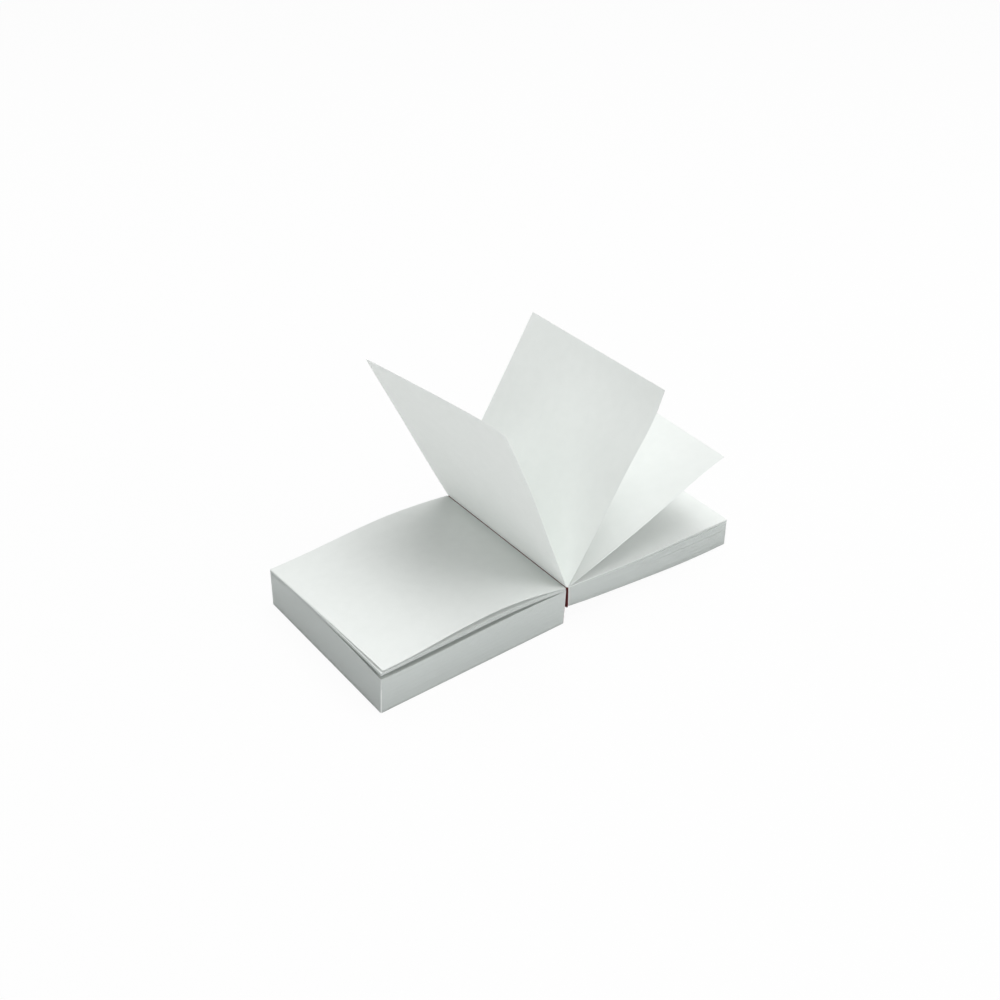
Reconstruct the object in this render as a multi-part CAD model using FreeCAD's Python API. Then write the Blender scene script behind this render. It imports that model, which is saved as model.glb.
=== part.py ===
"""A glued memo pad lying open on its spine, in millimetres.

X runs across the pad, from the left fore edge to the right one. Y runs along the spine, away from
the near end. Z is up, from the table. The origin is under the middle of the open pad.
"""
import FreeCAD, Part
import math
import os

# Sheets
leaf_width = 90.0          # from the glued edge to the fore edge
leaf_length = 85.0         # along the glued edge
leaf_thickness = 0.1
sheet_air = 0.05           # left between two sheets that lie loose on each other

# Blocks of closed pages
left_height = 17.6         # left block, at the spine
left_lean = 1.3            # its top sheets stand this far past the bottom one, towards the gutter
right_thickness = 10.0     # right block, at the spine
right_drop = 0.1           # its top sheet is this far under the fold of the glue film
under_cut = 4.0            # the left block is drawn this far down past the table and cut off there
settling_rounds = 12       # steps in which the right block's droop is brought to the table

# Glue film, folded over where the pad opens
film_thickness = 0.15
fold_width = 1.1           # across the fold, outside
foot_air = 0.15            # air beside a standing leaf's foot, as a share of its third of the fold
fold_rise = 0.1            # the fold stands this far above the top sheet of the left side
film_tail = 0.4            # the film runs on this far below the right block's spine face

# Each form is the heading of a sheet's section, in degrees from the table to the right, at the
# glued edge, the three quarter points and the fore edge. The sections are the near end of the
# spine, its middle and its far end.
left_block_top = (
    (182.1, 179.6, 181.3, 180.4, 179.7),
    (180.7, 179.6, 180.5, 180.0, 179.9),
    (179.6, 179.9, 179.9, 180.0, 180.0),
)
lower_sheet_form = (
    (181.3, 175.4, 180.9, 180.2, 178.9),
    (180.7, 179.1, 180.5, 180.0, 179.6),
    (179.4, 179.5, 179.7, 180.0, 180.4),
)
upper_sheet_form = (
    (164.9, 172.3, 183.5, 184.2, 176.9),
    (168.8, 174.7, 184.4, 185.0, 180.1),
    (172.0, 176.8, 183.2, 183.2, 179.8),
)
left_leaf_form = (
    (109.5, 108.6, 108.8, 110.2, 110.6),
    (112.3, 111.3, 111.2, 111.7, 112.2),
    (115.5, 114.4, 113.9, 114.8, 114.0),
)
middle_leaf_form = (
    (54.4, 57.2, 57.4, 53.6, 70.6),
    (58.1, 58.3, 57.2, 57.1, 64.0),
    (61.2, 58.8, 56.9, 57.3, 58.0),
)
right_leaf_form = (
    (16.9, 18.6, 20.7, 23.4, 14.2),
    (20.7, 20.8, 20.8, 21.7, 19.1),
    (24.6, 23.9, 22.3, 22.6, 23.3),
)
# The right block droops to the table. Its bottom sheet shares out the whole droop in these parts,
# and its top sheet's heading departs from the bottom one's by these degrees, as the pages fan out.
right_droop = (1.4, 0.95, 0.98, 0.55, 0.0)
right_fan = (
    (3.6, 1.4, 4.8, 1.7, -3.7),
    (-0.8, 2.7, 6.1, 2.3, -3.3),
    (-1.8, 3.1, 6.4, 2.4, -3.3),
)

steps_per_quarter = 4      # points on a section's curve, for each quarter of the leaf


def direction(heading):
    """Unit vector in the section plane at a heading in degrees."""
    angle = math.radians(heading)
    return FreeCAD.Vector(math.cos(angle), 0, math.sin(angle))


def bend(root, form):
    """Points along a section one leaf wide, from its root, turning evenly between the headings."""
    quarters = len(form) - 1
    steps = quarters * steps_per_quarter
    points = [root]
    for step in range(steps):
        quarter, part = divmod(step, steps_per_quarter)
        share = (part + 0.5) / steps_per_quarter
        heading = form[quarter] + (form[quarter + 1] - form[quarter]) * share
        points.append(points[-1] + direction(heading) * (leaf_width / steps))
    return points


def thicken(points, form, seat):
    """The other face of a sheet: a leaf's thickness to the right, mitred along its seat."""
    last = len(points) - 1
    face = []
    for index, point in enumerate(points):
        before = points[max(index - 1, 0)]
        after = points[min(index + 1, last)]
        along = (after - before).normalize()
        face.append(point + FreeCAD.Vector(along.z, 0, -along.x) * leaf_thickness)
    along = direction(form[0])
    mitre = abs(along.x * seat.z - along.z * seat.x)
    face[0] = points[0] + seat * (leaf_thickness / mitre)
    return face


def curve(points):
    """A smooth edge through a section's points."""
    spline = Part.BSplineCurve()
    spline.interpolate(points)
    return spline.toShape()


def outline(first_side, second_side, y):
    """Closed wire of a section: two sides that run from the glued edge to the fore edge."""
    edges = [
        curve(first_side),
        Part.makeLine(first_side[-1], second_side[-1]),
        curve(second_side[::-1]),
        Part.makeLine(second_side[0], first_side[0]),
    ]
    wire = Part.Wire(edges)
    wire.translate(FreeCAD.Vector(0, y, 0))
    return wire


def stations():
    """Places along the spine of the near, middle and far sections."""
    return (-leaf_length / 2, 0.0, leaf_length / 2)


def sheet(root, forms, seat):
    """One sheet that stands or lies free, lofted between its near, middle and far sections."""
    wires = []
    for form, y in zip(forms, stations()):
        side = bend(root, form)
        wires.append(outline(side, thicken(side, form, seat), y))
    return Part.makeLoft(wires, True)


def block(bottoms, tops):
    """Closed pages, lofted between the near, middle and far sections."""
    wires = [outline(bottom, top, y) for bottom, top, y in zip(bottoms, tops, stations())]
    return Part.makeLoft(wires, True)


def fold_height():
    """Height of the top of the folded film: the left pages, the two lifted sheets and a rise."""
    return left_height + 2 * (sheet_air + leaf_thickness) + fold_rise


def spine_lean():
    """Unit vector up the left block's leaning spine face."""
    return FreeCAD.Vector(left_lean, 0, fold_height()).normalize()


def on_left_spine(height):
    """The point of the left spine face at a height above the table."""
    return FreeCAD.Vector(left_lean * height / fold_height(), 0, height)


def right_spine_x():
    """Place across the pad of the right block's upright spine face."""
    return left_lean + fold_width


def below_the_table():
    """Everything just below the table under the pad."""
    corner = FreeCAD.Vector(-2 * leaf_width, -leaf_length, -left_height)
    return Part.makeBox(4 * leaf_width, 2 * leaf_length, left_height, corner)


def left_page_block():
    """Closed pages that lie flat on the table and lean a little towards the gutter."""
    bottom = bend(on_left_spine(-under_cut), (180.0,) * 5)
    tops = [bend(on_left_spine(left_height), form) for form in left_block_top]
    return block([bottom] * 3, tops).cut(below_the_table())


def lower_lifted_sheet():
    """The sheet next to the left block, open at its near fore corner."""
    return sheet(on_left_spine(left_height + sheet_air), lower_sheet_form, spine_lean())


def upper_lifted_sheet():
    """The arched sheet on top of the left side."""
    height = left_height + 2 * sheet_air + leaf_thickness
    return sheet(on_left_spine(height), upper_sheet_form, spine_lean())


def standing_leaf(place, forms):
    """A leaf that stands on the fold, in one of three even places across it."""
    pitch = fold_width / 3
    root = FreeCAD.Vector(left_lean + (place + foot_air) * pitch, 0, fold_height())
    return sheet(root, forms, FreeCAD.Vector(1, 0, 0))


def settled_form():
    """Headings of the right block's bottom sheet, which come down to the table at its fore edge."""
    root = FreeCAD.Vector(right_spine_x(), 0, fold_height() - right_drop - right_thickness)
    droop = math.degrees(root.z / leaf_width)
    for _ in range(settling_rounds):
        form = [-droop * part for part in right_droop]
        droop *= root.z / (root.z - bend(root, form)[-1].z)
    return root, form


def right_page_block():
    """Closed pages that hang from the gutter, fan out and rest their fore edges on the table."""
    foot, form = settled_form()
    head = foot + FreeCAD.Vector(0, 0, right_thickness)
    tops = []
    for fan in right_fan:
        tops.append(bend(head, [heading + spread for heading, spread in zip(form, fan)]))
    return block([bend(foot, form)] * 3, tops)


def glue_film():
    """The dried glue: down both spine faces and folded over between them."""
    left_x = right_spine_x() - film_thickness
    slant = film_thickness / spine_lean().z
    inner_height = fold_height() - film_thickness - fold_width / 2
    tail_height = settled_form()[0].z - film_tail
    left_inside = on_left_spine(inner_height) + FreeCAD.Vector(slant, 0, 0)
    right_inside = FreeCAD.Vector(left_x, 0, inner_height)
    crown = FreeCAD.Vector((left_inside.x + left_x) / 2, 0, fold_height() - film_thickness)
    tail_tip = FreeCAD.Vector(left_x + film_thickness / 2, 0, tail_height - film_thickness / 2)
    outer_tail = FreeCAD.Vector(right_spine_x(), 0, tail_height)
    inner_tail = FreeCAD.Vector(left_x, 0, tail_height)
    outer_corner = FreeCAD.Vector(right_spine_x(), 0, fold_height())
    edges = [
        Part.makeLine(on_left_spine(0), on_left_spine(fold_height())),
        Part.makeLine(on_left_spine(fold_height()), outer_corner),
        Part.makeLine(outer_corner, outer_tail),
        Part.Arc(outer_tail, tail_tip, inner_tail).toShape(),
        Part.makeLine(inner_tail, right_inside),
        Part.Arc(right_inside, crown, left_inside).toShape(),
        Part.makeLine(left_inside, FreeCAD.Vector(slant, 0, 0)),
        Part.makeLine(FreeCAD.Vector(slant, 0, 0), on_left_spine(0)),
    ]
    strip = Part.Face(Part.Wire(edges))
    strip.translate(FreeCAD.Vector(0, -leaf_length / 2, 0))
    return strip.extrude(FreeCAD.Vector(0, leaf_length, 0))


def middle_of_the_pad():
    """Place across the pad of the middle between its two fore edges on the table."""
    foot, form = settled_form()
    return (bend(foot, form)[-1].x - leaf_width) / 2


def main():
    """Build every piece and write one STEP file for each."""
    pieces = {
        "left_page_block": left_page_block(),
        "lower_lifted_sheet": lower_lifted_sheet(),
        "upper_lifted_sheet": upper_lifted_sheet(),
        "left_standing_leaf": standing_leaf(0, left_leaf_form),
        "middle_standing_leaf": standing_leaf(1, middle_leaf_form),
        "right_standing_leaf": standing_leaf(2, right_leaf_form),
        "right_page_block": right_page_block(),
        "glue_film": glue_film(),
    }
    os.makedirs("parts", exist_ok=True)
    for name, piece in pieces.items():
        piece.translate(FreeCAD.Vector(-middle_of_the_pad(), 0, 0))
        piece.exportStep(f"parts/{name}.step")
        print(f"{name}: {piece.Volume:.1f} cubic mm, valid {piece.isValid()}")


if __name__ == "__main__":
    main()
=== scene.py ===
"""Looks of a glued memo pad that lies open on its spine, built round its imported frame.

A thick and a thin block of closed pages, a few lifted pages, an arched sheet over them and three
standing leaves are modelled sheet by sheet, and the dried glue as one folded film. Lengths are in
metres. X runs across the pad, Y along its spine and Z up from the table. A heading is the direction
of a sheet's section in degrees, from the table at the right round to the table at the left.
"""

import logging
import math
import random
from abc import ABC, abstractmethod
from collections.abc import Callable, Iterable
from dataclasses import dataclass, field, replace
from enum import Enum
from itertools import accumulate

import bmesh
import bpy
from bmesh.types import BMesh, BMVert
from bpy.types import Material, Node, NodeSocket, NodeTree, Object
from mathutils import Matrix, Vector

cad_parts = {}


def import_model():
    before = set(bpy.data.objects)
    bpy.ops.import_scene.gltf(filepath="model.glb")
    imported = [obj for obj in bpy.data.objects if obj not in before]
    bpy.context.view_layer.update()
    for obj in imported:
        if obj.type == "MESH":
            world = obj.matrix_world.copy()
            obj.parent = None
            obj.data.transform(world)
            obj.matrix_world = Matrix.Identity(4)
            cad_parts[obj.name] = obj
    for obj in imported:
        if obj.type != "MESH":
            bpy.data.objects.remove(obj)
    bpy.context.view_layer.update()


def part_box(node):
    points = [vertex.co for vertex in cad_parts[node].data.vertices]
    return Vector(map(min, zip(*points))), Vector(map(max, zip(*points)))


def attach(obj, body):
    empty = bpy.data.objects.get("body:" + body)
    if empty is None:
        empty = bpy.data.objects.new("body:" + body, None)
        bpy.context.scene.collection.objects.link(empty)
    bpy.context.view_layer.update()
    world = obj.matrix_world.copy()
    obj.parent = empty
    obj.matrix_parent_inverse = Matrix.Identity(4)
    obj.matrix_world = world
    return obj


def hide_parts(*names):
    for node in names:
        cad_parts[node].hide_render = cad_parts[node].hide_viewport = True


MM = 0.001
ROOT_BODY = "root"
UPRIGHT = 90.0  # heading of a sheet that stands straight up
SHARP_EDGE = 35.0  # degrees that an edge turns by, past which it stays sharp
ROW_DIGITS = 7  # decimals of a metre that tell a sheet's rows apart
CORNER_EDGES = 2  # edges of a flat sheet's mesh that meet at each of its corners
WORN_SEGMENTS = 2  # parts of the rounding of a worn corner

Headings = tuple[float, float, float, float, float]
Colour = tuple[float, float, float]

log = logging.getLogger("memo_pad")


class Slot(Enum):
    """Material slots of the record."""

    PAPER = "paper"
    GLUE = "glue"


class Channel(Enum):
    """Attributes that a sheet's mesh carries for its materials, painted shade and painted highlight
    among them.
    """

    # The cut edges' tone, with painted shade near a block's bottom and painted light near its top.
    TONE = "sheet_tone"
    # A painted highlight on the worn corners and on lit cut edges.
    CORNER = "painted_highlight"
    # Painted shade on faces in narrow gaps and beside the glued edge.
    GAP = "gap_shade"


# ---------------------------------------------------------------- hand tools


def deselect_all() -> None:
    """Leave nothing selected, the frame's own nodes among them."""
    if bpy.context.object and bpy.context.object.mode != "OBJECT":
        bpy.ops.object.mode_set(mode="OBJECT")
    bpy.ops.object.select_all(action="DESELECT")


def take(*pieces: Object) -> None:
    """Select some objects and make the first one active.

    Args:
        pieces: The objects to select.
    """
    deselect_all()
    for piece in pieces:
        piece.select_set(True)
    bpy.context.view_layer.objects.active = pieces[0]


def edit(piece: Object) -> BMesh:
    """Take an object, go into edit mode and open its mesh."""
    take(piece)
    bpy.ops.object.mode_set(mode="EDIT")
    return bmesh.from_edit_mesh(piece.data)


def leave_edit_mode() -> None:
    """Go back to object mode."""
    bpy.ops.object.mode_set(mode="OBJECT")


def finish_with(piece: Object, kind: str, **settings: object) -> None:
    """Add a modifier to an object and apply it.

    Args:
        piece: The object to work on.
        kind: The modifier's type.
        settings: Values of the modifier's properties.
    """
    take(piece)
    modifier = piece.modifiers.new(kind.lower(), kind)
    for name, value in settings.items():
        setattr(modifier, name, value)
    bpy.ops.object.modifier_apply(modifier=modifier.name)


def select_only(mesh: BMesh, chosen: Iterable[BMVert]) -> None:
    """Select these vertices in edit mode and nothing else.

    Args:
        mesh: The mesh in edit mode.
        chosen: The vertices to select.
    """
    for vertex in mesh.verts:
        vertex.select = False
    for vertex in chosen:
        vertex.select = True
    mesh.select_flush_mode()


def paint(piece: Object, channel: Channel, value: Callable[[Vector], float]) -> None:
    """Write an attribute of a mesh from the places of its faces.

    Args:
        piece: The object whose mesh is painted.
        channel: The attribute to write.
        value: Gives the value at a place.
    """
    data = piece.data
    layer = data.attributes.new(channel.value, "FLOAT", "FACE")
    for face, entry in zip(data.polygons, layer.data):
        entry.value = value(face.center)


# ---------------------------------------------------------------- bent sheets


def direction(heading: float) -> Vector:
    """Unit vector in the section plane at a heading in degrees."""
    angle = math.radians(heading)
    return Vector((math.cos(angle), 0, math.sin(angle)))


def section_heading(section: Headings, across: float) -> float:
    """Heading of one section of a sheet.

    Args:
        section: Its headings at the glued edge, the three quarter points and the fore edge.
        across: Place across the sheet, from 0 at the glued edge to 1 at the fore edge.

    Returns:
        The heading in degrees.
    """
    quarters = len(section) - 1
    quarter = min(int(across * quarters), quarters - 1)
    share = across * quarters - quarter
    return section[quarter] + (section[quarter + 1] - section[quarter]) * share


@dataclass(frozen=True)
class Form:
    """Headings of a bent sheet at its glued edge, its three quarter points and its fore edge.

    Attributes:
        near: Headings of the section at the near end of the spine.
        middle: Headings of the section at the middle of the spine.
        far: Headings of the section at the far end of the spine.
    """

    near: Headings
    middle: Headings
    far: Headings

    def heading(self, along: float, across: float) -> float:
        """Heading of the sheet at a place on it.

        Args:
            along: Place along the spine, from 0 at the near end to 1 at the far end.
            across: Place across the sheet, from 0 at the glued edge to 1 at the fore edge.

        Returns:
            The heading in degrees.
        """
        near, middle, far = (
            section_heading(section, across) for section in (self.near, self.middle, self.far)
        )
        side = 2 * along - 1
        return middle + side * (far - near) / 2 + side * side * (near + far - 2 * middle) / 2

    def leaning(self, fan: "Form", share: float) -> "Form":
        """This form with a share of another form's headings added to it.

        Args:
            fan: The headings to add.
            share: The share of them that is added.

        Returns:
            The new form.
        """

        def add(own: Headings, extra: Headings) -> Headings:
            """Headings of one section with the share added."""
            return tuple(a + share * b for a, b in zip(own, extra))

        return Form(add(self.near, fan.near), add(self.middle, fan.middle), add(self.far, fan.far))


@dataclass(frozen=True)
class Curl:
    """A corner of a sheet at the fore edge that turns a little further than its form.

    Attributes:
        along: Place of the corner along the spine, 0 for near and 1 for far.
        turn: Degrees that the very corner is turned by.
        reach_along: How far the curl reaches along the fore edge, as a share of its length.
        reach_across: How far it reaches from the fore edge, as a share of the sheet's width.
    """

    along: float
    turn: float
    reach_along: float
    reach_across: float

    def heading(self, along: float, across: float) -> float:
        """Extra heading at a place on the sheet.

        Args:
            along: Place along the spine, from 0 to 1.
            across: Place across the sheet, from 0 to 1.

        Returns:
            The extra heading in degrees.
        """
        away = abs(along - self.along) / self.reach_along + (1 - across) / self.reach_across
        return self.turn * max(0.0, 1 - away) ** 2


@dataclass(frozen=True)
class Stock:
    """The paper that the sheets are cut from.

    Attributes:
        width: Across a sheet, from the glued edge to the fore edge.
        length: Along the glued edge.
        thickness: Thickness of a free sheet.
        closed_thickness: Thickness that a sheet is drawn with in a closed block, less its air.
    """

    width: float = 90 * MM
    length: float = 85 * MM
    thickness: float = 0.1 * MM
    closed_thickness: float = 0.088 * MM


@dataclass(frozen=True)
class Grid:
    """Faces that a sheet is modelled with.

    Attributes:
        columns: Faces across the sheet before it is smoothed.
        rows: Faces along the sheet before it is smoothed.
        smoothing: Levels of subdivision.
    """

    columns: int
    rows: int
    smoothing: int = 0


FREE_GRID = Grid(24, 16, 2)
SHOWN_GRID = Grid(16, 8, 1)
CLOSED_GRID = Grid(8, 4)


@dataclass(frozen=True)
class Sheet:
    """One sheet, modelled flat and then turned row by row to its form.

    Attributes:
        root: Foot of its left face, in the section plane.
        form: Its headings.
        stock: The paper that it is cut from.
        thickness: Its thickness, which lies to the right of its heading.
        grid: The faces that it is modelled with.
        clipped: How much of each corner is worn off.
        bends: Places where it turns further.
        flare: How much wider it is at the far end than its stock.
        narrower: How much narrower it is at the near end.
        burr: How much lighter its cut edges are painted, from 0 to 1: a painted highlight on a
            block's top sheets, and about the faces' colour on a lone leaf.
    """

    root: Vector
    form: Form
    stock: Stock
    thickness: float
    grid: Grid
    clipped: float
    bends: tuple[Curl, ...] = ()
    flare: float = 0.0
    narrower: float = 0.0
    burr: float = 0.0

    @classmethod
    def free(cls, root: Vector, form: Form, inset: float, **cut: object) -> "Sheet":
        """A sheet that stands or lies free.

        Args:
            root: Where its glued edge would be.
            form: Its headings.
            inset: How much of that edge is cut away, or below zero how far it runs on.
            cut: How else it is cut and bent, by the names of its attributes.

        Returns:
            The sheet.
        """
        stock = Stock()
        own = replace(stock, width=stock.width - inset)
        foot = root + direction(form.middle[0]) * inset
        return cls(foot, form, own, stock.thickness, FREE_GRID, **cut)

    def flat(self) -> Object:
        """Add the flat sheet, from its glued edge out to the right, as one skin."""
        deselect_all()
        bpy.ops.mesh.primitive_grid_add(
            x_subdivisions=self.grid.columns, y_subdivisions=self.grid.rows, size=1
        )
        sheet = bpy.context.object
        edit(sheet)
        bpy.ops.transform.resize(value=(self.stock.width, self.stock.length, 1))
        bpy.ops.transform.translate(value=(self.stock.width / 2 + self.root.x, 0, self.root.z))
        leave_edit_mode()
        return sheet

    def heading(self, along: float, across: float) -> float:
        """Heading at a place on the sheet, with its further bends."""
        extra = sum(bend.heading(along, across) for bend in self.bends)
        return self.form.heading(along, across) + extra

    def turn(self, sheet: Object) -> None:
        """Stretch each row of the flat sheet, and turn it column by column to its headings.

        Args:
            sheet: The flat sheet.
        """
        mesh = edit(sheet)
        points = sorted(mesh.verts, key=lambda point: (round(point.co.y, ROW_DIGITS), point.co.x))
        per_row = self.grid.columns + 1
        for row in range(self.grid.rows + 1):
            along = row / self.grid.rows
            line = points[row * per_row : (row + 1) * per_row]
            select_only(mesh, line[1:])
            if self.flare or self.narrower:
                wider = 1 + (self.flare * along - self.narrower * (1 - along)) / self.stock.width
                bpy.ops.transform.resize(value=(wider, 1, 1), center_override=line[0].co.copy())
            before = 0.0
            for column, hinge in enumerate(line[:-1]):
                hinge.select = False
                heading = self.heading(along, (column + 0.5) / self.grid.columns)
                bpy.ops.transform.rotate(
                    value=math.radians(heading - before),
                    orient_axis="Y",
                    orient_type="GLOBAL",
                    center_override=hinge.co.copy(),
                )
                before = heading
        leave_edit_mode()

    def clip(self, sheet: Object) -> None:
        """Wear the sheet's four corners off.

        Args:
            sheet: The turned sheet, which has no thickness yet.
        """
        mesh = edit(sheet)
        corners = [vertex for vertex in mesh.verts if len(vertex.link_edges) == CORNER_EDGES]
        select_only(mesh, corners)
        bpy.ops.mesh.bevel(offset=self.clipped, segments=WORN_SEGMENTS, affect="VERTICES")
        leave_edit_mode()

    def mark_corners(self, sheet: Object) -> None:
        """Paint a highlight on the worn corners, and the painted edge light on the other cut edges,
        for the edge finish.

        Args:
            sheet: The sheet with its thickness.
        """
        half, reach = self.stock.length / 2, self.clipped
        places = [vertex.co for vertex in sheet.data.vertices]
        fore = {
            side: max(abs(place.x - self.root.x) for place in places if place.y * side > half / 2)
            for side in (-1, 1)
        }

        def worn(place: Vector) -> float:
            """1 at a worn corner, for a painted highlight, and the painted edge light elsewhere."""
            beside = half - abs(place.y) < reach
            across = abs(place.x - self.root.x)
            end = across < reach or fore[1 if place.y > 0 else -1] - across < reach
            return 1.0 if beside and end else self.burr

        # A painted highlight on the worn corners, and painted edge light on the other cut edges.
        paint(sheet, Channel.CORNER, worn)

    def build(self, finishes: "Finishes") -> Object:
        """Model the sheet with its thickness and cut edges.

        Args:
            finishes: The materials of the pad.

        Returns:
            The sheet's object. Its second material slot is that of its cut edges.
        """
        sheet = self.flat()
        self.turn(sheet)
        if self.grid.smoothing:
            levels = {"levels": self.grid.smoothing, "render_levels": self.grid.smoothing}
            finish_with(sheet, "SUBSURF", boundary_smooth="PRESERVE_CORNERS", **levels)
        self.clip(sheet)
        for material in (finishes.face, finishes.cut):
            sheet.data.materials.append(material)
        skins = {"offset": -1, "use_even_offset": True, "material_offset_rim": 1}
        finish_with(sheet, "SOLIDIFY", thickness=self.thickness, **skins)
        self.mark_corners(sheet)
        return sheet


# ---------------------------------------------------------------- finishes


MIX_SHARE, MIX_FIRST, MIX_SECOND = 0, 6, 7  # inputs of a Mix node that mixes colours
MIX_COLOUR = 2  # output of such a node


class Tree:
    """A node tree in the making."""

    def __init__(self, tree: NodeTree) -> None:
        """Start from an empty tree."""
        self.tree = tree
        tree.nodes.clear()

    def add(self, kind: str, inputs: dict[object, object], **settings: object) -> Node:
        """Add a node, set its properties, and link or set its inputs.

        Args:
            kind: The node's type.
            inputs: Sockets to link or values to set, by the name or number of the input.
            settings: Values of the node's properties.

        Returns:
            The node.
        """
        node = self.tree.nodes.new(kind)
        for name, value in settings.items():
            setattr(node, name, value)
        for socket, value in inputs.items():
            if isinstance(value, NodeSocket):
                self.tree.links.new(value, node.inputs[socket])
            else:
                node.inputs[socket].default_value = value
        return node

    def math(self, operation: str, *values: object) -> NodeSocket:
        """A sum worked out from sockets and numbers."""
        return self.add("ShaderNodeMath", dict(enumerate(values)), operation=operation).outputs[0]

    def blend(self, share: object, first: object, second: object) -> NodeSocket:
        """A colour between two colours or colour sockets.

        Args:
            share: How much of the second one there is, from 0 to 1.
            first: The first colour.
            second: The second colour.

        Returns:
            The blend.
        """
        inputs = {MIX_SHARE: share}
        for socket, end in ((MIX_FIRST, first), (MIX_SECOND, second)):
            inputs[socket] = end if isinstance(end, NodeSocket) else (*end, 1)
        return self.add("ShaderNodeMix", inputs, data_type="RGBA").outputs[MIX_COLOUR]

    def place(self) -> NodeSocket:
        """The place on the object, in metres."""
        return self.add("ShaderNodeTexCoord", {}).outputs["Object"]

    def channel(self, channel: Channel) -> NodeSocket:
        """The value of a mesh attribute."""
        return self.add("ShaderNodeAttribute", {}, attribute_name=channel.value).outputs["Fac"]

    def noise(self, place: NodeSocket, size: object, **inputs: float) -> NodeSocket:
        """Noise of a size in metres, from 0 to 1.

        Args:
            place: Where the noise is read.
            size: Size of its largest lumps.
            inputs: Other inputs of the noise, by name.

        Returns:
            The noise.
        """
        values = {"Vector": place, "Scale": self.math("DIVIDE", 1.0, size)}
        values.update(inputs)
        return self.add("ShaderNodeTexNoise", values).outputs["Fac"]

    def backdrop_rays(self) -> NodeSocket:
        """1 for the rays that show the backdrop: straight, mirrored or through glass."""
        path = self.add("ShaderNodeLightPath", {}).outputs
        bent = self.math("MAXIMUM", path["Is Glossy Ray"], path["Is Transmission Ray"])
        return self.math("MAXIMUM", path["Is Camera Ray"], bent)

    def surface(
        self, colour: NodeSocket, roughness: float, gloss: float, height: NodeSocket, relief: float
    ) -> None:
        """Put a surface on the material, with its finest shapes in relief.

        Args:
            colour: Its colour.
            roughness: Its roughness.
            gloss: Its specular level.
            height: Heights from 0 to 1.
            relief: How far they stand in relief.
        """
        bump = self.add("ShaderNodeBump", {"Height": height, "Distance": relief})
        inputs = {
            "Base Color": colour,
            "Roughness": roughness,
            "Specular IOR Level": gloss,
            "Normal": bump.outputs[0],
        }
        self.output("Material", self.add("ShaderNodeBsdfPrincipled", inputs))

    def output(self, kind: str, shader: Node) -> None:
        """Wire a shader to the output of a material or a world."""
        self.add(f"ShaderNodeOutput{kind}", {"Surface": shader.outputs[0]})


def new_material(name: str) -> tuple[Material, Tree]:
    """A new material and its node tree."""
    material = bpy.data.materials.new(name)
    material.use_nodes = True
    return material, Tree(material.node_tree)


def felted_fibres() -> NodeTree:
    """Paper's felted fibres: their height, and the clouds where the sheet is denser.

    Returns:
        The node group. It takes the place, the size of a fibre and that of a cloud.
    """
    group = bpy.data.node_groups.new("felted_fibres", "ShaderNodeTree")
    sockets = group.interface
    sockets.new_socket("Place", in_out="INPUT", socket_type="NodeSocketVector")
    for label, usual in (("Fibre", 0.45 * MM), ("Lump", 5 * MM)):
        size = sockets.new_socket(label, in_out="INPUT", socket_type="NodeSocketFloat")
        size.default_value = usual
    for label in ("Height", "Cloud"):
        sockets.new_socket(label, in_out="OUTPUT", socket_type="NodeSocketFloat")
    tree = Tree(group)
    given = tree.add("NodeGroupInput", {}).outputs
    felt = tree.noise(given["Place"], given["Fibre"], Detail=4.0, Roughness=0.6, Distortion=0.6)
    cloud = tree.noise(given["Place"], given["Lump"], Detail=3.0, Roughness=0.55)
    tree.add("NodeGroupOutput", {"Height": felt, "Cloud": cloud})
    return group


@dataclass(frozen=True)
class PaperFinish:
    """Uncoated white paper, on the faces of the sheets or on their cut edges.

    Attributes:
        name: Name of the material.
        thin: Colour where the tone is 0.
        dense: Colour where the tone is 1.
        tone: Attribute that holds the tone, or None where the felt's clouds are the tone.
        painted_light_colour: Colour where the painted light is 1: painted shade on the faces, a
            painted highlight on the cut edges.
        painted_light_channel: Attribute that holds how much painted light there is.
        fibre: Size of the felted fibres.
        relief: Height that they stand in relief.
        roughness: Roughness of the surface.
        gloss: Its specular level.
    """

    name: str
    thin: Colour
    dense: Colour
    tone: Channel | None
    painted_light_colour: Colour
    painted_light_channel: Channel
    fibre: float
    relief: float
    roughness: float
    gloss: float

    def build(self, fibres: NodeTree) -> Material:
        """Make the material.

        Args:
            fibres: The group of felted fibres.

        Returns:
            The material.
        """
        material, tree = new_material(self.name)
        sizes = {"Place": tree.place(), "Fibre": self.fibre}
        felt = tree.add("ShaderNodeGroup", sizes, node_tree=fibres)
        tone = tree.channel(self.tone) if self.tone else felt.outputs["Cloud"]
        paper = tree.blend(tone, self.thin, self.dense)
        # Painted light over the paper's own colour: painted shade on the faces, a painted highlight
        # on the cut edges.
        colour = tree.blend(tree.channel(self.painted_light_channel), paper, self.painted_light_colour)
        tree.surface(colour, self.roughness, self.gloss, felt.outputs["Height"], self.relief)
        return material


# The faces' second colour is painted shade, on faces in narrow gaps and beside the glued edge.
FACE_FINISH = PaperFinish(
    name="paper_face",
    thin=(0.787, 0.815, 0.795), dense=(0.833, 0.86, 0.84), tone=None,
    painted_light_colour=(0.53, 0.56, 0.54), painted_light_channel=Channel.GAP,
    fibre=0.45 * MM, relief=0.006 * MM, roughness=0.85, gloss=0.3,
)
# The cut edges are darker than the faces: rough fibre ends, and painted shade for the light lost
# between the stacked sheets. Their second colour is a painted highlight on worn corners and lit cut
# edges.
CUT_FINISH = PaperFinish(
    name="paper_cut_edge",
    thin=(0.34, 0.363, 0.352), dense=(0.66, 0.70, 0.688), tone=Channel.TONE,
    painted_light_colour=(0.78, 0.80, 0.79), painted_light_channel=Channel.CORNER,
    fibre=0.25 * MM, relief=0.02 * MM, roughness=0.92, gloss=0.2,
)


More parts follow.
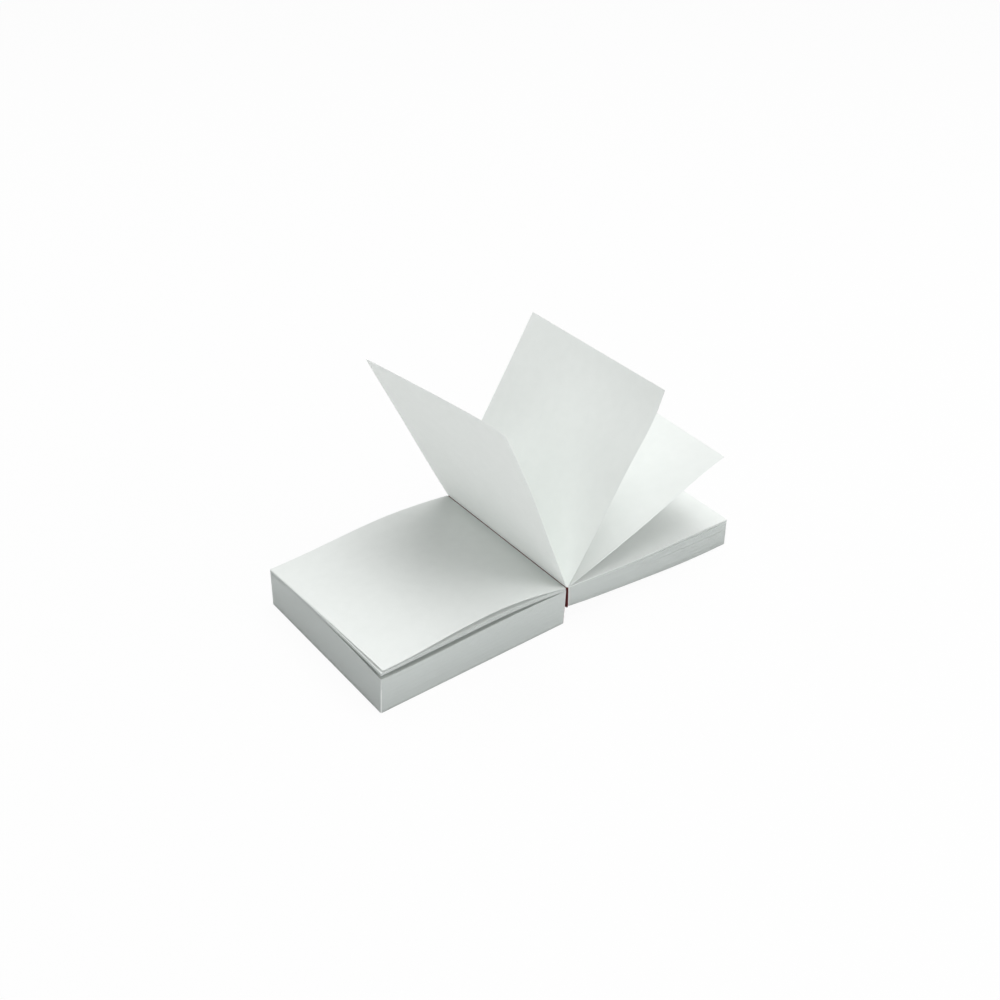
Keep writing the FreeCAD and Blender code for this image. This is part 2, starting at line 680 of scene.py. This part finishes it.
@dataclass(frozen=True)
class GlueFinish:
    """Dried padding glue: a dark red flexible film, brushed on along the spine.

    Attributes:
        name: Name of the material.
        thick: Colour where the film is thick.
        thin: Colour where it is thin.
        stroke: Width of the brush strokes.
        stretch: Their width as a share of their length.
        relief: Height of the strokes.
        roughness: Roughness of the surface.
        gloss: Its specular level.
    """

    name: str = "dried_red_glue"
    thick: Colour = (0.09, 0.008, 0.009)
    thin: Colour = (0.20, 0.02, 0.02)
    stroke: float = 0.5 * MM
    stretch: float = 0.08
    relief: float = 0.03 * MM
    roughness: float = 0.42
    gloss: float = 0.5

    def build(self) -> Material:
        """Make the material."""
        material, tree = new_material(self.name)
        scale = (1.0, self.stretch, 1.0)
        along = tree.add("ShaderNodeMapping", {"Vector": tree.place(), "Scale": scale}).outputs[0]
        strokes = tree.noise(along, self.stroke, Detail=3.0, Roughness=0.6, Distortion=0.3)
        colour = tree.blend(strokes, self.thin, self.thick)
        tree.surface(colour, self.roughness, self.gloss, strokes, self.relief)
        return material


@dataclass(frozen=True)
class Finishes:
    """The materials of the sheets' faces, of their cut edges and of the glue film."""

    face: Material
    cut: Material
    glue: Material

    @classmethod
    def build(cls) -> "Finishes":
        """Make every material of the pad."""
        fibres = felted_fibres()
        return cls(FACE_FINISH.build(fibres), CUT_FINISH.build(fibres), GlueFinish().build())


# ---------------------------------------------------------------- pieces


@dataclass(frozen=True)
class Gutter:
    """Where the sheets are glued: the film's two sides and the fold between them.

    Attributes:
        foot: Foot of the left block's spine face.
        fold: Left edge of the fold's top.
        right: Right edge of the fold's top.
    """

    foot: Vector
    fold: Vector
    right: Vector

    @classmethod
    def of_frame(cls, lean: float = 1.3 * MM) -> "Gutter":
        """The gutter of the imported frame, whose left spine face leans by this much."""
        low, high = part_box("glue_film")
        foot = Vector((low.x, 0, low.z))
        return cls(foot, Vector((low.x + lean, 0, high.z)), Vector((high.x, 0, high.z)))

    def on_left_spine(self, height: float) -> Vector:
        """The point of the left spine face at a height above the table."""
        return self.foot.lerp(self.fold, height / self.fold.z)

    def up_left_spine(self, height: float) -> Vector:
        """The way up the left spine face that gains this height."""
        return (self.fold - self.foot) / self.fold.z * height


class Piece(ABC):
    """A piece that stands for one node of the frame."""

    node: str
    name: str
    slot: Slot

    @abstractmethod
    def model(self, finishes: Finishes) -> Object:
        """Model the piece at its place, in its materials."""

    def dress(self, piece: Object) -> None:
        """Shade the piece smooth, apart from its sharp edges."""
        take(piece)
        bpy.ops.object.shade_smooth_by_angle(angle=math.radians(SHARP_EDGE))

    def make(self, finishes: Finishes) -> None:
        """Model and dress the piece, and tie it to its node and body.

        Args:
            finishes: The materials of the pad.
        """
        piece = self.model(finishes)
        piece.name = self.name
        piece.data.name = self.name
        self.dress(piece)
        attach(piece, ROOT_BODY)
        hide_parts(self.node)
        self.report(piece)

    def report(self, piece: Object) -> None:
        """Log the size of the piece and how far its box is from that of its node.

        Args:
            piece: The finished object.
        """
        low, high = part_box(self.node)
        places = [vertex.co for vertex in piece.data.vertices]
        off = max(
            abs(end(place[axis] for place in places) - corner[axis])
            for end, corner in ((min, low), (max, high))
            for axis in range(3)
        )
        faces = len(piece.data.polygons)
        log.info("%s: %d faces, box within %.2f mm of %s", self.name, faces, off / MM, self.node)


@dataclass
class FreeSheet(Piece):
    """A sheet that stands or lies free.

    Attributes:
        node: The node that it stands for.
        name: Name of the piece.
        sheet: The sheet.
        shade: How much painted shade darkens its faces beside the glued edge, from 0 to 1.
        shade_reach: How fast that painted shade fades away from the glued edge.
    """

    node: str
    name: str
    sheet: Sheet
    shade: float = 0.0
    shade_reach: float = 5 * MM
    slot = Slot.PAPER

    def model(self, finishes: Finishes) -> Object:
        """Model the sheet, light at its cut edges and with painted shade beside its glued one.

        Args:
            finishes: The materials of the pad.

        Returns:
            The sheet's object.
        """
        piece = self.sheet.build(finishes)
        root = self.sheet.root

        def shaded(place: Vector) -> float:
            """How much painted shade the sheet has at a place."""
            return self.shade * math.exp(-abs(place.x - root.x) / self.shade_reach)

        paint(piece, Channel.TONE, lambda place: 1.0)
        paint(piece, Channel.GAP, shaded)
        return piece


LEAST_AIR = 0.5  # the least that a closed sheet turns past the one below, as a share of the usual
DRIFT_PACE = 0.11  # radians a sheet of the slow drift in a block's cut edges
RIPPLE_PACE = 0.31  # radians a sheet of the quicker ripple on it
RIPPLE_SHARE = 0.6  # height of the ripple as a share of the drift


@dataclass
class PageBlock(Piece):
    """A block of closed pages, made sheet by sheet.

    Attributes:
        node: The node that it stands for.
        name: Name of the piece.
        foot: Root of the bottom sheet's lower face.
        rise: From the root of one sheet to the next.
        count: Number of sheets.
        base: Headings of the bottom sheet.
        fan: Headings that the top sheet has beyond those of the bottom one.
        seed: Seed of the chances in this block.
        shown: How many of the top sheets are modelled finely, because their faces show.
        openings: Sheets that stand off from the one below, and how much more than the others.
        flare: How much wider the bottom and the top sheet are at the far end than at the near end.
        inset: How much of the glued edges is cut away.
        shaded: Sheets that face a narrow gap and get painted shade on their faces, counted from the
            bottom.
        tone: How light its cut edges are, from 0 to 1.
        painted_falloff: How much lighter they are painted at the top than at the bottom, as painted
            light and shade.
        grain: How much they differ from sheet to sheet.
        top_light: How much painted light makes the very top ones lighter.
        bottom_shade: How much painted shade makes the very bottom ones darker, beside the table.
        outermost: How many sheets count as the very top or bottom ones.
        scatter: How far a sheet may stand back from the others.
        drift: How far the cut edges wander over many sheets.
        clipped: How much of each corner is worn off.
        burr: How much lighter the cut edges of the top sheets are painted, as a painted highlight,
            from 0 to 1.
        burred: How many sheets those are.
    """

    node: str
    name: str
    foot: Vector
    rise: Vector
    count: int
    base: Form
    fan: Form
    seed: int
    shown: int = 1
    openings: dict[int, float] = field(default_factory=dict)
    flare: tuple[float, float] = (0.0, 0.0)
    inset: float = 0.0
    shaded: tuple[int, ...] = ()
    tone: float = 0.48
    painted_falloff: float = 0.22
    grain: float = 0.2
    top_light: float = 0.0
    bottom_shade: float = 0.35
    outermost: int = 16
    scatter: float = 0.014 * MM
    drift: float = 0.03 * MM
    clipped: float = 0.35 * MM
    burr: float = 0.0
    burred: int = 3
    slot = Slot.PAPER

    def fan_shares(self, chance: random.Random) -> list[float]:
        """How far each sheet's face has turned from the bottom form to the top one.

        Args:
            chance: Source of chance.

        Returns:
            Shares from 0 to 1, one for each sheet.
        """
        steps = [
            LEAST_AIR + chance.random() + self.openings.get(number, 0.0)
            for number in range(self.count)
        ]
        total = sum(steps)
        return [done / total for done in accumulate(steps)]

    def cut_tone(self, number: int, chance: random.Random) -> float:
        """How light a sheet's cut edges are painted, painted light and shade included.

        Args:
            number: Number of the sheet, counted from the bottom.
            chance: Source of chance.

        Returns:
            The tone, from 0 to 1.
        """
        last = self.count - 1
        grain = self.grain * (chance.random() - 0.5)
        # Painted light and shade: lighter towards the top, painted shade on the sheets beside the
        # table, painted light on the top ones.
        tone = self.tone + grain + self.painted_falloff * (number / last - 0.5)
        tone -= self.bottom_shade * max(0.0, 1 - number / self.outermost)
        return tone + self.top_light * max(0.0, 1 - (last - number) / self.outermost)

    def stray(self, number: int, phases: list[float], chance: random.Random) -> tuple[float, float]:
        """How far a sheet lies from its even place in the block.

        Args:
            number: Number of the sheet, counted from the bottom.
            phases: Where the drift and the ripple start, for either way.
            chance: Source of chance.

        Returns:
            How far it stands back from the fore edge, and how far aside.
        """
        waves = (
            math.sin(number * DRIFT_PACE + drift)
            + RIPPLE_SHARE * math.sin(number * RIPPLE_PACE + ripple)
            for drift, ripple in (phases[:2], phases[2:])
        )
        back, aside = (self.drift * wave / (1 + RIPPLE_SHARE) for wave in waves)
        back = abs(chance.gauss(0, self.scatter)) + abs(back)
        return back, chance.gauss(0, self.scatter) + aside

    def page(self, number: int, share: float, back: float) -> Sheet:
        """One sheet at its place in the block.

        Args:
            number: Number of the sheet, counted from the bottom.
            share: How far it has turned from the bottom form to the top one.
            back: How far it stands back from the fore edge.

        Returns:
            The sheet.
        """
        stock = Stock()
        form = self.base.leaning(self.fan, share)
        face = number if form.middle[0] > UPRIGHT else number + 1
        bottom_flare, top_flare = self.flare
        return Sheet(
            self.foot + self.rise * face + direction(form.middle[0]) * self.inset,
            form,
            replace(stock, width=stock.width - back - self.inset),
            stock.closed_thickness,
            SHOWN_GRID if number >= self.count - self.shown else CLOSED_GRID,
            self.clipped,
            flare=bottom_flare + (top_flare - bottom_flare) * (number / (self.count - 1)),
            # A painted highlight on the cut edges of the top sheets.
            burr=self.burr if number >= self.count - self.burred else 0.0,
        )

    def model(self, finishes: Finishes) -> Object:
        """Model every sheet of the block, move it aside, paint it, and join them all.

        Args:
            finishes: The materials of the pad.

        Returns:
            The block's object.
        """
        chance = random.Random(self.seed)
        shares = self.fan_shares(chance)
        phases = [chance.uniform(0, 2 * math.pi) for _ in range(4)]  # a drift and a ripple each way
        pages = []
        for number, share in enumerate(shares):
            back, aside = self.stray(number, phases, chance)
            page = self.page(number, share, back).build(finishes)
            edit(page)
            bpy.ops.mesh.select_all(action="SELECT")
            bpy.ops.transform.translate(value=(0, aside, 0))
            leave_edit_mode()
            # The cut edges' tone holds painted shade and light, and a sheet that faces a narrow gap
            # gets painted shade on its faces.
            tone, gap = self.cut_tone(number, chance), float(number in self.shaded)
            paint(page, Channel.TONE, lambda place, tone=tone: tone)
            paint(page, Channel.GAP, lambda place, gap=gap: gap)
            pages.append(page)
        take(*pages)
        bpy.ops.object.join()
        return bpy.context.object


@dataclass
class GlueFilm(Piece):
    """The dried glue: down both spine faces and folded over between them.

    Attributes:
        gutter: Where the sheets are glued.
        tail: Height of the film's lower end on the right block's spine face.
        sunk: How far the fold's right edge lies under the top of its node.
        lip: How far its left edge does, where a line of glue shows in the crease.
        shoulder: Width of the fold's right side that falls away to its edge.
        recess: How far the film's two ends stand back from the sheets' edges.
        ragged: Least and greatest share of that recess at any point.
        rounding: Radius of the corners at the lower end.
        thickness: Thickness of the film.
        pitch: Length of its faces.
        spans: Faces along the spine.
        seed: Seed of its ragged ends.
    """

    gutter: Gutter
    tail: float
    sunk: float
    lip: float = 0.08 * MM
    shoulder: float = 0.3 * MM
    recess: float = 0.28 * MM
    ragged: tuple[float, float] = (0.8, 1.3)
    rounding: float = 0.9 * MM
    thickness: float = 0.15 * MM
    pitch: float = 0.5 * MM
    spans: int = 68
    seed: int = 5
    node = "glue_film"
    name = "folded_glue_film"
    slot = Slot.GLUE

    def course(self) -> list[Vector]:
        """Points of the film's outer side, from the foot of the left spine face over the fold."""
        foot = self.gutter.foot
        fold = self.gutter.on_left_spine(self.gutter.fold.z - self.lip)
        right = self.gutter.right - Vector((0, 0, self.sunk))
        brow = Vector((right.x - self.shoulder, 0, fold.z))
        end = Vector((right.x, 0, self.tail))
        points = [foot]
        for start, stop in ((foot, fold), (fold, brow), (brow, right), (right, end)):
            steps = max(2, round((stop - start).length / self.pitch))
            points += [start.lerp(stop, (step + 1) / steps) for step in range(steps)]
        return points

    def lengths(self, points: list[Vector]) -> list[float]:
        """Length of the film along the spine at each point of its course, uneven as it was brushed.

        Args:
            points: The points of the course.

        Returns:
            The lengths.
        """
        chance = random.Random(self.seed)
        full = Stock().length
        lengths = []
        for point in points:
            recess = self.recess * chance.uniform(*self.ragged)
            above = point.z - self.tail
            if point.x == self.gutter.right.x and above < self.rounding:
                recess += self.rounding - math.sqrt(above * (2 * self.rounding - above))
            lengths.append(full - 2 * recess)
        return lengths

    def model(self, finishes: Finishes) -> Object:
        """Draw a line of edges out along the film's course and thicken it.

        Args:
            finishes: The materials of the pad.

        Returns:
            The film's object.
        """
        points = self.course()
        lengths = self.lengths(points)
        deselect_all()
        bpy.ops.mesh.primitive_grid_add(x_subdivisions=1, y_subdivisions=self.spans, size=1)
        film = bpy.context.object
        mesh = edit(film)
        bpy.ops.transform.resize(value=(0, lengths[0], 1))
        bpy.ops.transform.translate(value=points[0])
        # The grid is one face wide, and every second vertex is on the side that isn't needed.
        select_only(mesh, mesh.verts[:][::2])
        bpy.ops.mesh.delete(type="VERT")
        bpy.ops.mesh.select_all(action="SELECT")
        for number in range(1, len(points)):
            step = points[number] - points[number - 1]
            bpy.ops.mesh.extrude_region_move(TRANSFORM_OT_translate={"value": step})
            bpy.ops.transform.resize(value=(1, lengths[number] / lengths[number - 1], 1))
        bpy.ops.mesh.select_all(action="SELECT")
        bpy.ops.mesh.normals_make_consistent(inside=False)
        leave_edit_mode()
        finish_with(film, "SOLIDIFY", thickness=self.thickness, offset=-1, use_even_offset=True)
        film.data.materials.append(finishes.glue)
        return film


# ---------------------------------------------------------------- the pad


LEFT_FLAT = Form((180.0,) * 5, (180.0,) * 5, (180.0,) * 5)
LEFT_SPREAD = Form(
    (-2.7, 0.1, 1.2, 1.4, -2.5),
    (-1.2, -1.4, -1.3, -1.0, -1.0),
    (0.1, -0.3, -0.1, 0.4, 0.6),
)
LIFTED_PAGES = Form(
    (173.0, 177.4, 181.0, 180.6, 179.8),
    (178.1, 178.3, 178.7, 178.9, 179.5),
    (179.9, 179.5, 179.9, 180.3, 180.4),
)
LIFTED_SPREAD = Form(
    (-3.0, 0.0, -0.1, 0.4, 2.5),
    (-0.5, 0.0, 0.0, 0.1, 0.1),
    (-0.2, -0.1, 0.0, 0.0, 0.1),
)
ARCHED_PAGE = Form(
    (166.6, 172.2, 182.4, 185.8, 179.5),
    (173.0, 176.4, 179.8, 181.4, 180.7),
    (172.5, 176.4, 183.1, 183.9, 179.8),
)
LEFT_LEAF = Form(
    (109.5, 108.6, 108.2, 111.1, 109.0),
    (112.3, 111.3, 111.2, 111.7, 112.2),
    (115.5, 114.4, 113.9, 114.8, 114.0),
)
LEFT_LEAF_CORNER = Curl(along=0.0, turn=5.8, reach_along=0.23, reach_across=0.31)
MIDDLE_LEAF = Form(
    (54.4, 57.2, 57.4, 53.6, 70.6),
    (58.1, 58.3, 57.2, 57.1, 64.0),
    (61.2, 58.8, 56.9, 57.3, 58.0),
)
RIGHT_LEAF = Form(
    (16.9, 18.6, 20.7, 23.4, 14.2),
    (20.7, 20.8, 20.8, 21.7, 19.1),
    (24.6, 23.9, 22.3, 22.6, 23.3),
)
RIGHT_DROOP_SHARES = (1.4, 0.95, 0.98, 0.55, 0.0)
RIGHT_SPREAD = Form(
    (3.6, 1.4, 4.8, 1.7, -3.7),
    (-0.8, 2.7, 6.1, 2.3, -3.3),
    (-1.8, 3.1, 6.4, 2.4, -3.3),
)
RIGHT_OPENINGS = {60: 4.0, 62: 8.0, 88: 4.0, 90: 14.0}


def settled(shares: Headings, fall: float, rounds: int = 12, steps: int = 16) -> Form:
    """Form of a sheet that droops to the table and keeps its width.

    Args:
        shares: How the droop is shared out between the glued edge, the quarter points and the
            fore edge.
        fall: Height that its fore edge comes down.
        rounds: Times that the droop is corrected.
        steps: Parts of its width that are added up.

    Returns:
        The form.
    """
    width = Stock().width
    droop = math.degrees(fall / width)
    for _ in range(rounds):
        headings = tuple(-droop * share for share in shares)
        turns = (section_heading(headings, (step + 0.5) / steps) for step in range(steps))
        droop *= fall / -sum(math.sin(math.radians(turn)) * width / steps for turn in turns)
    return Form(headings, headings, headings)


@dataclass(frozen=True)
class MemoPad:
    """The whole pad.

    Attributes:
        left_height: Height of the left block at its spine.
        left_sheets: Sheets in the left block.
        lifted_height: Thickness of the lifted pages at their spine.
        lifted_sheets: Sheets among them.
        flare: How much further the left side's top sheets reach at the far end than at the near.
        right_height: Thickness of the right block at its spine.
        right_drop: How far its top is under the fold.
        right_sheets: Sheets in the right block.
        air: Air under a lifted sheet at its root.
        crease: Width of the dark crease between the arched page and the left leaf.
        sunk: Depth of the right edge of the film's fold under its top.
        foot_air: Air beside a standing leaf's foot, as a share of its third of the fold.
        foot_depth: How far the standing leaves' feet reach into the glue of the fold.
        tail: How far the film runs on below the right block's spine face.
    """

    left_height: float = 16.5 * MM
    left_sheets: int = 165
    lifted_height: float = 1.2 * MM
    lifted_sheets: int = 12
    flare: float = 0.75 * MM
    right_height: float = 10 * MM
    right_drop: float = 0.1 * MM
    right_sheets: int = 100
    air: float = 0.05 * MM
    crease: float = 0.3 * MM
    sunk: float = 0.5 * MM
    foot_air: float = 0.15
    foot_depth: float = 0.1 * MM
    tail: float = 1.4 * MM

    def pieces(self, gutter: Gutter) -> list[Piece]:
        """Every piece of the pad, placed from its gutter.

        Args:
            gutter: The pad's gutter.

        Returns:
            The pieces, in the order that they are made in.
        """
        right_foot = gutter.right - Vector((0, 0, self.right_drop + self.right_height))
        return [
            self.left_pages(gutter),
            self.right_pages(right_foot),
            self.lifted_pages(gutter),
            self.arched_page(gutter),
            *self.leaves(gutter),
            GlueFilm(gutter, right_foot.z - self.tail, self.sunk),
        ]

    def lifted_foot(self) -> float:
        """Height of the lifted pages' foot at the spine."""
        return self.left_height + self.air

    def arched_foot(self) -> float:
        """Height of the arched page's foot at the spine."""
        return self.lifted_foot() + self.lifted_height + self.air

    def lower_flare(self) -> float:
        """Flare of the left side at the top of its block, below the lifted pages."""
        return self.flare * self.left_height / self.arched_foot()

    def left_pages(self, gutter: Gutter) -> PageBlock:
        """The closed pages on the left, whose top one faces the gap under the lifted pages and gets
        painted shade there.

        Args:
            gutter: The pad's gutter.

        Returns:
            The block.
        """
        return PageBlock(
            node="left_page_block",
            name="left_pages",
            foot=gutter.foot,
            rise=gutter.up_left_spine(self.left_height / self.left_sheets),
            count=self.left_sheets,
            base=LEFT_FLAT,
            fan=LEFT_SPREAD,
            seed=7,
            flare=(0.0, self.lower_flare()),
            shaded=(self.left_sheets - 1,),
            grain=0.08,
        )

    def lifted_pages(self, gutter: Gutter) -> PageBlock:
        """The few pages lifted off the left block, whose bottom one faces the gap and gets painted
        shade there.

        Args:
            gutter: The pad's gutter.

        Returns:
            The block.
        """
        return PageBlock(
            node="lower_lifted_sheet",
            name="lower_lifted_pages",
            foot=gutter.on_left_spine(self.lifted_foot()),
            rise=gutter.up_left_spine(self.lifted_height / self.lifted_sheets),
            count=self.lifted_sheets,
            base=LIFTED_PAGES,
            fan=LIFTED_SPREAD,
            seed=13,
            shown=self.lifted_sheets,
            flare=(self.lower_flare(), self.flare),
            inset=self.crease,
            shaded=(0,),
            tone=0.58,
            bottom_shade=0.0,
        )

    def arched_page(self, gutter: Gutter) -> FreeSheet:
        """The arched page on top of the left side, with painted shade where it dips into the
        crease.

        Args:
            gutter: The pad's gutter.

        Returns:
            The page.
        """
        root = gutter.on_left_spine(self.arched_foot())
        sheet = Sheet.free(
            root, ARCHED_PAGE, self.crease, clipped=0.45 * MM, flare=self.flare, narrower=0.5 * MM
        )
        return FreeSheet("upper_lifted_sheet", "arched_page", sheet, shade=0.4)

    def right_pages(self, foot: Vector) -> PageBlock:
        """The closed pages on the right, which come down to the table.

        Args:
            foot: Foot of their spine face.

        Returns:
            The block.
        """
        return PageBlock(
            node="right_page_block",
            name="right_pages",
            foot=foot,
            rise=Vector((0, 0, self.right_height / self.right_sheets)),
            count=self.right_sheets,
            base=settled(RIGHT_DROOP_SHARES, foot.z),
            fan=RIGHT_SPREAD,
            seed=11,
            shown=3,
            openings=RIGHT_OPENINGS,
            # Painted light on the top sheets' cut edges.
            top_light=0.1,
            scatter=0.03 * MM,
            drift=0.06 * MM,
            # A painted highlight on the top sheets' cut edges.
            burr=0.7,
        )

    def leaves(self, gutter: Gutter) -> list[FreeSheet]:
        """The three leaves that stand side by side on the fold.

        Args:
            gutter: The pad's gutter.

        Returns:
            The leaves, from left to right.
        """
        leaves = (
            ("left_standing_leaf", "left_leaf", LEFT_LEAF, (LEFT_LEAF_CORNER,), 0.7 * MM),
            ("middle_standing_leaf", "middle_leaf", MIDDLE_LEAF, (), 0.3 * MM),
            ("right_standing_leaf", "right_leaf", RIGHT_LEAF, (), 0.3 * MM),
        )
        pitch = (gutter.right.x - gutter.fold.x) / len(leaves)
        standing = []
        for place, (node, name, form, bends, clipped) in enumerate(leaves):
            root = gutter.fold + Vector(((place + self.foot_air) * pitch, 0, 0))
            inset = -self.foot_depth / math.sin(math.radians(form.middle[0]))
            # The leaves' cut edges are painted about as light as their faces.
            sheet = Sheet.free(root, form, inset, clipped=clipped, bends=bends, burr=1.0)
            standing.append(FreeSheet(node, name, sheet))
        return standing


# ---------------------------------------------------------------- studio


def outwards(azimuth: float, elevation: float) -> Vector:
    """Direction from the pad to a place round it.

    Args:
        azimuth: Degrees round the pad, from the near side towards the right.
        elevation: Degrees above the table.

    Returns:
        The unit vector.
    """
    around, above = math.radians(azimuth), math.radians(elevation)
    return Vector(
        (math.sin(around) * math.cos(above), -math.cos(around) * math.cos(above), math.sin(above))
    )


@dataclass(frozen=True)
class Viewpoint:
    """The camera.

    Attributes:
        gutter: The pad's gutter, whose foot its place is measured from.
        aim: From there to the point that it looks at.
        distance: Distance from there.
        azimuth: Degrees round the pad, from the near side towards the right.
        elevation: Degrees above the table.
        roll: Degrees that its frame is turned by.
        lens: Focal length in millimetres.
        frame: Width of its frame in millimetres.
        nearest: Distance at which it starts to see.
    """

    gutter: Gutter
    aim: Vector = Vector((32.89 * MM, 46.31 * MM, 0.0))
    distance: float = 671.95 * MM
    azimuth: float = -36.06
    elevation: float = 34.47
    roll: float = -0.84
    lens: float = 51.68
    frame: float = 36.0
    nearest: float = 10 * MM

    def build(self) -> None:
        """Add the camera and make it the scene's."""
        data = bpy.data.cameras.new("camera")
        data.lens = self.lens
        data.sensor_width = self.frame
        data.clip_start = self.nearest
        back = outwards(self.azimuth, self.elevation)
        facing = (-back).to_track_quat("-Z", "Y").to_matrix()
        turn = facing @ Matrix.Rotation(math.radians(self.roll), 3, "Z")
        place = self.gutter.foot + self.aim + back * self.distance
        camera = bpy.data.objects.new("camera", data)
        camera.matrix_world = Matrix.LocRotScale(place, turn.to_quaternion(), None)
        bpy.context.scene.collection.objects.link(camera)
        bpy.context.scene.camera = camera


@dataclass(frozen=True)
class SoftLamp:
    """A square lamp that looks at the pad.

    Attributes:
        name: Name of the lamp.
        azimuth: Degrees round the pad.
        elevation: Degrees above the table.
        power: Its power in watts.
        distance: Distance from the pad.
        side: Side of the lamp.
    """

    name: str
    azimuth: float
    elevation: float
    power: float
    distance: float = 1.3
    side: float = 0.9

    def build(self) -> None:
        """Add the lamp."""
        data = bpy.data.lights.new(self.name, "AREA")
        data.size = self.side
        data.energy = self.power
        back = outwards(self.azimuth, self.elevation)
        facing = (-back).to_track_quat("-Z", "Y")
        lamp = bpy.data.objects.new(self.name, data)
        lamp.matrix_world = Matrix.LocRotScale(back * self.distance, facing, None)
        bpy.context.scene.collection.objects.link(lamp)


LAMPS = (
    SoftLamp("overhead_lamp", 0, 85, 2.6),
    SoftLamp("high_near_right_lamp", 45, 65, 5.8),
    SoftLamp("high_far_right_lamp", 135, 65, 7.3),
    SoftLamp("low_far_left_lamp", 216, 15, 6.9),
    SoftLamp("low_left_lamp", 270, 15, 1.9),
    SoftLamp("low_near_left_lamp", 324, 15, 5.1),
    SoftLamp("low_near_right_lamp", 36, 15, 8.4),
)


@dataclass(frozen=True)
class Studio:
    """Plain pale surroundings.

    Attributes:
        gutter: The pad's gutter, for the camera.
        sky: Brightness of the even light from all round.
        floor_side: Side of the floor.
        floor_colour: Colour of the floor as the pad's light meets it.
        whiteness: How much of the floor that the camera sees is plain white.
    """

    gutter: Gutter
    sky: float = 0.01
    floor_side: float = 12.0
    floor_colour: Colour = (0.80, 0.80, 0.80)
    whiteness: float = 0.95

    def build(self) -> None:
        """Add the floor, the world, the lamps and the camera."""
        self.add_floor()
        self.add_world()
        for lamp in LAMPS:
            lamp.build()
        Viewpoint(self.gutter).build()
        bpy.context.scene.view_settings.view_transform = "Standard"

    def add_floor(self) -> None:
        """Add a large floor, mostly plain white to the camera, that keeps the pad's shadow."""
        deselect_all()
        bpy.ops.mesh.primitive_plane_add(size=self.floor_side)
        floor = bpy.context.object
        floor.name = "floor"
        material, tree = new_material("pale_floor")
        matt = tree.add("ShaderNodeBsdfDiffuse", {"Color": (*self.floor_colour, 1)})
        white = tree.add("ShaderNodeEmission", {"Color": (1, 1, 1, 1), "Strength": 1.0})
        share = tree.math("MULTIPLY", tree.backdrop_rays(), self.whiteness)
        ends = {0: share, 1: matt.outputs[0], 2: white.outputs[0]}
        tree.output("Material", tree.add("ShaderNodeMixShader", ends))
        floor.data.materials.append(material)

    def add_world(self) -> None:
        """Add even light from all round, in front of a white background."""
        world = bpy.data.worlds.new("studio")
        world.use_nodes = True
        tree = Tree(world.node_tree)
        white = tree.math("MULTIPLY", tree.backdrop_rays(), 1.0 - self.sky)
        light = {"Color": (1, 1, 1, 1), "Strength": tree.math("ADD", self.sky, white)}
        tree.output("World", tree.add("ShaderNodeBackground", light))
        bpy.context.scene.world = world


def main() -> None:
    """Build the pad round its frame, then its surroundings."""
    logging.basicConfig(level=logging.INFO, format="%(message)s")
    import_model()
    finishes = Finishes.build()
    gutter = Gutter.of_frame()
    for piece in MemoPad().pieces(gutter):
        piece.make(finishes)
    Studio(gutter).build()


if __name__ == "__main__":
    main()
